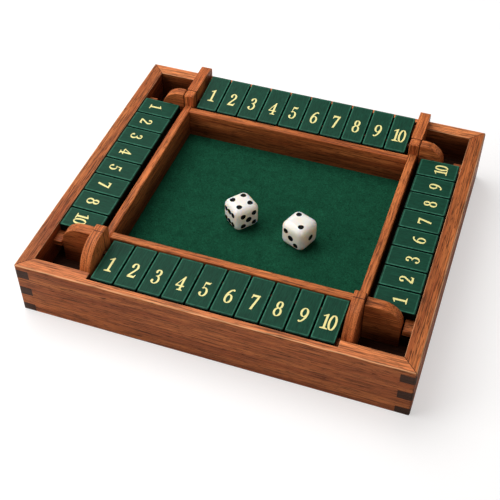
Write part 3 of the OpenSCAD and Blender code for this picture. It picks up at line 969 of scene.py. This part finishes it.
def nap_tree():
    """Loose fibres strewn over the top of a sheet: thin strips, each bent and turned by chance."""
    tree, given, result = tree_with("felt nap", [
        ("Hairs per area", "Float"), ("Hair length", "Float"), ("Hair width", "Float"),
        ("Seed", "Int"), ("Material", "Material")])
    seed = given["Seed"]
    up = xyz(tree, add(tree, "GeometryNodeInputNormal"))["Z"]
    strewn = add(tree, "GeometryNodeDistributePointsOnFaces", {
        "Mesh": given["Geometry"], "Density": given["Hairs per area"], "Seed": seed,
        "Selection": maths(tree, "GREATER_THAN", up, UPWARD)})
    spine = add(tree, "GeometryNodeSetCurveRadius", {
        "Curve": add(tree, "GeometryNodeCurveQuadraticBezier", FIBRE)})
    ratio = maths(tree, "DIVIDE", given["Hair width"], given["Hair length"])
    section = add(tree, "GeometryNodeTransform", {
        "Geometry": add(tree, "GeometryNodeCurvePrimitiveCircle", {
            "Resolution": FIBRE_SIDES, "Radius": 1.0}),
        "Scale": alike(tree, ratio)})
    fibre = add(tree, "GeometryNodeCurveToMesh", {
        "Curve": spine, "Profile Curve": section, "Fill Caps": True})
    lean, roll = FIBRE_TILT
    turn = add(tree, "FunctionNodeRandomValue", {
        "Min": (-lean, -roll, 0), "Max": (lean, roll, 2 * math.pi), "Seed": seed},
        data_type="FLOAT_VECTOR")
    least, most = FIBRE_SHARES
    factor = add(tree, "FunctionNodeRandomValue", {2: least, 3: most, "Seed": seed}, 1,
                 data_type="FLOAT")
    size = maths(tree, "MULTIPLY", factor, given["Hair length"])
    placed = add(tree, "GeometryNodeInstanceOnPoints", {
        "Points": strewn, "Instance": fibre, "Rotation": turn, "Scale": alike(tree, size)})
    return hand_out(tree, placed, given["Material"], result)


# ---------- operators ----------

class SHUTBOX_OT_walls(bpy.types.Operator):
    """Mitred walls of the box, with their arrises softened"""
    bl_idname = "shutbox.walls"
    bl_label = "Walls"

    def execute(self, context):
        for row in ROWS:
            kind = "wall" if row in LONG_ROWS else "side_wall"
            worked_wood(f"{row}_wall", row_axis(row), kind)
        return {"FINISHED"}


class SHUTBOX_OT_keys(bpy.types.Operator):
    """Dark keys let across the mitred corners"""
    bl_idname = "shutbox.keys"
    bl_label = "Corner keys"

    def execute(self, context):
        worked_wood("corner_keys", ALONG_X, "key", "key_wood",
                    context.scene.shutbox_wood.tight_arris)
        return {"FINISHED"}


class SHUTBOX_OT_panel(bpy.types.Operator):
    """Base panel, which carries the felt and floors the corner wells"""
    bl_idname = "shutbox.panel"
    bl_label = "Base panel"

    def execute(self, context):
        materials = NODES["base_panel"].data.materials
        materials.clear()
        materials.append(wood_material(ALONG_X, "panel"))
        return {"FINISHED"}


class SHUTBOX_OT_rails(bpy.types.Operator):
    """Rails round the dice tray"""
    bl_idname = "shutbox.rails"
    bl_label = "Tray rails"

    def execute(self, context):
        for row in ROWS:
            worked_wood(f"{row}_rail", row_axis(row))
        return {"FINISHED"}


class SHUTBOX_OT_cheeks(bpy.types.Operator):
    """Quarter-round end cheeks and the square posts at the back"""
    bl_idname = "shutbox.cheeks"
    bl_label = "Cheeks and posts"

    def execute(self, context):
        soft = context.scene.shutbox_wood.soft_arris
        for row in ROWS:
            axis, kind = (ROUND_Y, "box") if row in LONG_ROWS else (ALONG_X, "tray")
            worked_wood(f"{row}_cheeks", axis, kind, arris=soft)
        worked_wood("corner_posts", ALONG_Z, "box", arris=soft)
        return {"FINISHED"}


class SHUTBOX_OT_rods(bpy.types.Operator):
    """Rods that the tiles turn on and the battens that they rest on"""
    bl_idname = "shutbox.rods"
    bl_label = "Rods and battens"

    def execute(self, context):
        for row in ROWS:
            # Rod wood is darkened as painted shade
            worked_wood(f"{row}_rod", row_axis(row), "rod", "rod_wood")
        worked_wood("rest_battens", ALONG_X, "batten")
        return {"FINISHED"}


def tile_lay(node, row):
    """A tile's size, and the matrix that lays it, drawn along +X with its face up, into its row.
    Both come from its CAD mesh, whose broadest face shows how the tile is tilted."""
    mesh = NODES[node].data
    upper = [face for face in mesh.polygons if face.normal.z > 0.5]
    up = max(upper, key=lambda face: face.area).normal.copy()
    across = up.cross(Vector((*OUTWARD[row], 0))).normalized()
    turn = Matrix((across.cross(up), across, up)).transposed()
    points = [turn.inverted() @ vertex.co for vertex in mesh.vertices]
    low, high = (Vector(edge(point[i] for point in points) for i in range(3)) for edge in (min, max))
    return high - low, Matrix.Translation(turn @ (low + high) / 2) @ turn.to_4x4()


def laid_tiles():
    """Each tile's row, place in its row, node, size and lay."""
    for row, count in ROWS.items():
        for place in range(1, count + 1):
            node = f"{row}_tile_{place}"
            yield (row, place, node, *tile_lay(node, row))


class SHUTBOX_OT_tiles(bpy.types.Operator):
    """Numbered tiles of all four rows, each bored for its rod"""
    bl_idname = "shutbox.tiles"
    bl_label = "Tiles"

    def execute(self, context):
        look = context.scene.shutbox_tiles
        tree = tile_tree()
        along_x, along_y = (tile_material(axis) for axis in (ALONG_X, ALONG_Y))
        bore = centre_and_span("front_rod")[1].z / 2 + BORE_PLAY
        for row, place, node, size, lay in laid_tiles():
            pivot = lay.inverted() @ Vector(HINGES[node]["pos_m"])
            piece = new_object(f"{row}_painted_tile_{place}", bpy.data.meshes.new(node))
            grow(piece, tree, {
                "Size": size, "Edge": look.edge, "Wear": look.wear, "Steps": TILE_STEPS,
                "Bore radius": bore, "Bore place": (pivot.x, 0, pivot.z),
                "Material": along_y if row in LONG_ROWS else along_x})
            polish(piece)
            piece.data.transform(lay)
            dress(piece, None, node, "tile_paint", node)
        return {"FINISHED"}


# How far from a tile's outer end its number's middle lies, as a share of the tile's length
NUMBER_PLACE = {"front": 0.42, "back": 0.57, "left": 0.42, "right": 0.42}
NUMBER_SUNK = 0.01 * MM      # how deep its lower face lies in the tile


class SHUTBOX_OT_numbers(bpy.types.Operator):
    """Pale gold numbers, one to a tile"""
    bl_idname = "shutbox.numbers"
    bl_label = "Numbers"

    def execute(self, context):
        look = context.scene.shutbox_tiles
        ink = ink_material()
        for row, place, node, size, lay in laid_tiles():
            height, breadth = ((look.long_number, look.long_breadth) if row in LONG_ROWS
                               else (look.side_number, look.side_breadth))
            name = f"{row}_number_{place}"
            mesh = number_mesh(name, NUMBERS[row][place - 1], height, breadth,
                               look.number_proud)
            upright = 1 if NUMBER_UP[row] == OUTWARD[row] else -1
            turn = Matrix.Rotation(-math.pi / 2 * upright, 4, "Z")
            inset = size.x * (0.5 - NUMBER_PLACE[row])
            lift = size.z / 2 - NUMBER_SUNK
            mesh.transform(lay @ Matrix.Translation((inset, 0, lift)) @ turn)
            dress(new_object(name, mesh), ink, node, "tile_paint")
        return {"FINISHED"}


FELT_GRID, FELT_SEED, NAP_SEED = (60, 48), 11, 5
SAG, SKIN = 0.03 * MM, 0.04 * MM      # how uneven the felt's top is, and how much thinner it is
NAP_LIFT = 1.35      # how much paler the loose fibres are


class SHUTBOX_OT_felt(bpy.types.Operator):
    """Felt laid on the tray's floor, with its loose fibres"""
    bl_idname = "shutbox.felt"
    bl_label = "Felt"

    def execute(self, context):
        look = context.scene.shutbox_felt
        middle, spread = centre_and_span("felt")
        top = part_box("felt")[1].z
        mesh = bpy.data.meshes.new("felt_sheet")
        shape = bmesh.new()
        columns, rows = FELT_GRID
        bmesh.ops.create_grid(shape, x_segments=columns, y_segments=rows, size=0.5,
                              matrix=Matrix.Diagonal((spread.x, spread.y, 1, 1)))
        chance = random.Random(FELT_SEED)
        for vertex in shape.verts:
            vertex.co += Vector((middle.x, middle.y, top - SAG * chance.random()))
        shape.to_mesh(mesh)
        shape.free()
        sheet = new_object("felt_sheet", mesh)
        thick = sheet.modifiers.new("thickness", "SOLIDIFY")
        thick.thickness = spread.z - SKIN
        thick.offset = -1
        settle(sheet)
        smooth(sheet.data, angle=60)
        dress(sheet, felt_material("felt_green", 1.0), BOX_BODY, "felt", "felt")

        nap = new_object("felt_nap", sheet.data.copy())
        grow(nap, nap_tree(), {
            "Hairs per area": look.hairs / (spread.x * spread.y), "Hair length": look.hair,
            "Hair width": look.hair_width, "Seed": NAP_SEED,
            "Material": felt_material("felt_fibre", NAP_LIFT)})
        dress(nap, None, BOX_BODY, "felt")
        return {"FINISHED"}


def pip_spots(count):
    """Places of a face's pips, in steps from the middle of the face."""
    spots = []
    if count % 2:
        spots.append((0, 0))
    if count > 1:
        spots += [(1, 1), (-1, -1)]
    if count > 3:
        spots += [(-1, 1), (1, -1)]
    if count == 6:
        spots += [(-1, 0), (1, 0)]
    return spots


# The turns that bring the upper face to each face of a die, in the order of DICE
FACE_TURNS = ((0, "X"), (180, "X"), (90, "X"), (-90, "X"), (90, "Y"), (-90, "Y"))


class SHUTBOX_OT_dice(bpy.types.Operator):
    """Two dice lying in the tray, with drilled and painted pips"""
    bl_idname = "shutbox.dice"
    bl_label = "Dice"

    def execute(self, context):
        look = context.scene.shutbox_dice
        tree, ivory, black = die_tree(), ivory_material(), pip_material()
        ball_radius = (look.pip_radius ** 2 + look.pip_depth ** 2) / (2 * look.pip_depth)
        to_face = [Matrix.Rotation(math.radians(turn), 4, axis) for turn, axis in FACE_TURNS]
        for node, facts in DICE.items():
            middle, spread = centre_and_span(node)
            edge = spread.z
            lift = edge / 2 + ball_radius - look.pip_depth
            apart = PIP_SPREAD * edge
            centres = [turn @ Vector((x * apart, y * apart, lift))
                       for turn, count in zip(to_face, facts["faces"])
                       for x, y in pip_spots(count)]
            mesh = bpy.data.meshes.new(node)
            mesh.from_pydata(centres, [], [])
            piece = new_object(f"{node}_ivory", mesh)
            grow(piece, tree, {
                "Size": (edge, edge, edge), "Edge": look.edge, "Steps": DIE_STEPS,
                "Ball radius": ball_radius, "Body": ivory, "Pips": black})
            polish(piece)
            piece.data.transform(Matrix.Translation(middle)
                                 @ Matrix.Rotation(math.radians(facts["turn"]), 4, "Z"))
            dress(piece, None, node, "die", node)
        return {"FINISHED"}


FLOOR_HALF = 4.0      # half the floor's width, in metres
FLOOR_GLOW = (1, 0.972, 0.96, 1)
# How brightly the floor glows for the camera, and how much of its colour the camera sees
GLOW_STRENGTH, FLOOR_SEEN = 0.54, 0.56
WORLD_LIGHT, WORLD_SHINE = 0.06, 0.4      # the world's strength on the object, and in its shine
# Place, size and power of each lamp, which faces the middle of the game
LAMPS = {
    "key": ((-0.48, 0.30, 1.15), 1.1, 16.2),
    "side": ((-0.98, -0.55, 0.72), 0.9, 8.4),
    "fill": ((0.95, -1.05, 0.9), 1.0, 3.5),
}
TARGET = (-0.0235, -0.0571, 0)      # what the camera looks at, in widths of the box
SENSOR = 36      # width in millimetres
CLIP = 10 * MM      # nearest distance that the camera sees


class SHUTBOX_OT_stage(bpy.types.Operator):
    """Pale floor, soft lamps and the camera"""
    bl_idname = "shutbox.stage"
    bl_label = "Stage"

    def execute(self, context):
        look = context.scene.shutbox_stage
        self.floor(look)
        self.lamps(context)
        self.camera(context, look)
        return {"FINISHED"}

    def floor(self, look):
        mesh = bpy.data.meshes.new("floor")
        corners = ((-1, -1), (1, -1), (1, 1), (-1, 1))
        mesh.from_pydata([(FLOOR_HALF * x, FLOOR_HALF * y, 0) for x, y in corners],
                         [], [(0, 1, 2, 3)])
        made, tree, surface = new_material("floor_white", Roughness=0.9, Specular_IOR_Level=0.1,
                                           Emission_Color=FLOOR_GLOW)
        seen = add(tree, "ShaderNodeLightPath", out="Is Camera Ray")
        feed(tree, surface, mixed(tree, seen, tuple(look.floor), shaded(look.floor, FLOOR_SEEN)))
        tree.links.new(maths(tree, "MULTIPLY", seen, GLOW_STRENGTH),
                       surface.inputs["Emission Strength"])
        mesh.materials.append(made)
        new_object("floor", mesh)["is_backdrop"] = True

    def lamps(self, context):
        world = bpy.data.worlds.new("studio")
        world.use_nodes = True
        tree = world.node_tree
        tree.nodes.clear()
        path = put(tree, "ShaderNodeLightPath").outputs
        seen = maths(tree, "MULTIPLY_ADD", path["Is Camera Ray"], 1 - WORLD_LIGHT, WORLD_LIGHT)
        shine = maths(tree, "MULTIPLY", path["Is Glossy Ray"], WORLD_SHINE)
        white = add(tree, "ShaderNodeBackground", {
            "Color": (1, 1, 1, 1), "Strength": maths(tree, "MAXIMUM", seen, shine)})
        put(tree, "ShaderNodeOutputWorld", {"Surface": white})
        context.scene.world = world
        for name, (place, size, power) in LAMPS.items():
            data = bpy.data.lights.new(name, "AREA")
            data.size = size
            data.energy = power
            lamp = new_object(name, data)
            lamp.location = place
            lamp.rotation_euler = Vector(place).to_track_quat("Z", "Y").to_euler()

    def camera(self, context, look):
        low, high = CAD_BOX
        target = (high[0] - low[0]) * Vector(TARGET)
        back = Vector((math.sin(look.azimuth) * math.cos(look.elevation),
                       -math.cos(look.azimuth) * math.cos(look.elevation),
                       math.sin(look.elevation)))
        data = bpy.data.cameras.new("camera")
        data.lens = look.lens / MM
        data.sensor_width = SENSOR
        data.clip_start = CLIP
        camera = new_object("camera", data)
        camera.location = target + back * look.reach
        camera.rotation_euler = back.to_track_quat("Z", "Y").to_euler()
        context.scene.camera = camera
        context.scene.view_settings.view_transform = "Standard"


PROPERTY_GROUPS = {
    "shutbox_wood": SHUTBOX_PG_wood,
    "shutbox_tiles": SHUTBOX_PG_tiles,
    "shutbox_felt": SHUTBOX_PG_felt,
    "shutbox_dice": SHUTBOX_PG_dice,
    "shutbox_stage": SHUTBOX_PG_stage,
}
OPERATORS = (
    SHUTBOX_OT_walls, SHUTBOX_OT_keys, SHUTBOX_OT_panel, SHUTBOX_OT_rails, SHUTBOX_OT_cheeks,
    SHUTBOX_OT_rods, SHUTBOX_OT_tiles, SHUTBOX_OT_numbers, SHUTBOX_OT_felt, SHUTBOX_OT_dice,
    SHUTBOX_OT_stage,
)


class SHUTBOX_PT_panel(bpy.types.Panel):
    """Sizes, colours and pieces of the game"""
    bl_idname = "SHUTBOX_PT_panel"
    bl_label = "Shut the Box"
    bl_space_type = "VIEW_3D"
    bl_region_type = "UI"
    bl_category = "Shut the Box"

    def draw(self, context):
        for name, group in PROPERTY_GROUPS.items():
            box = self.layout.box()
            box.label(text=group.__doc__)
            for key in group.__annotations__:
                box.prop(getattr(context.scene, name), key)
        for operator in OPERATORS:
            self.layout.operator(operator.bl_idname)


CLASSES = (*PROPERTY_GROUPS.values(), *OPERATORS, SHUTBOX_PT_panel)


def register():
    for kind in CLASSES:
        bpy.utils.register_class(kind)
    for name, group in PROPERTY_GROUPS.items():
        setattr(bpy.types.Scene, name, PointerProperty(type=group))


def unregister():
    for name in PROPERTY_GROUPS:
        delattr(bpy.types.Scene, name)
    for kind in reversed(CLASSES):
        bpy.utils.unregister_class(kind)


def main():
    register()
    for operator in OPERATORS:
        family, action = operator.bl_idname.split(".")
        getattr(getattr(bpy.ops, family), action)()
    boxes = {"cad": CAD_BOX, "visual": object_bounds()}
    ({name: [list(map(float, corner)) for corner in box]
               for name, box in boxes.items()})


if __name__ == "__main__":
    main()
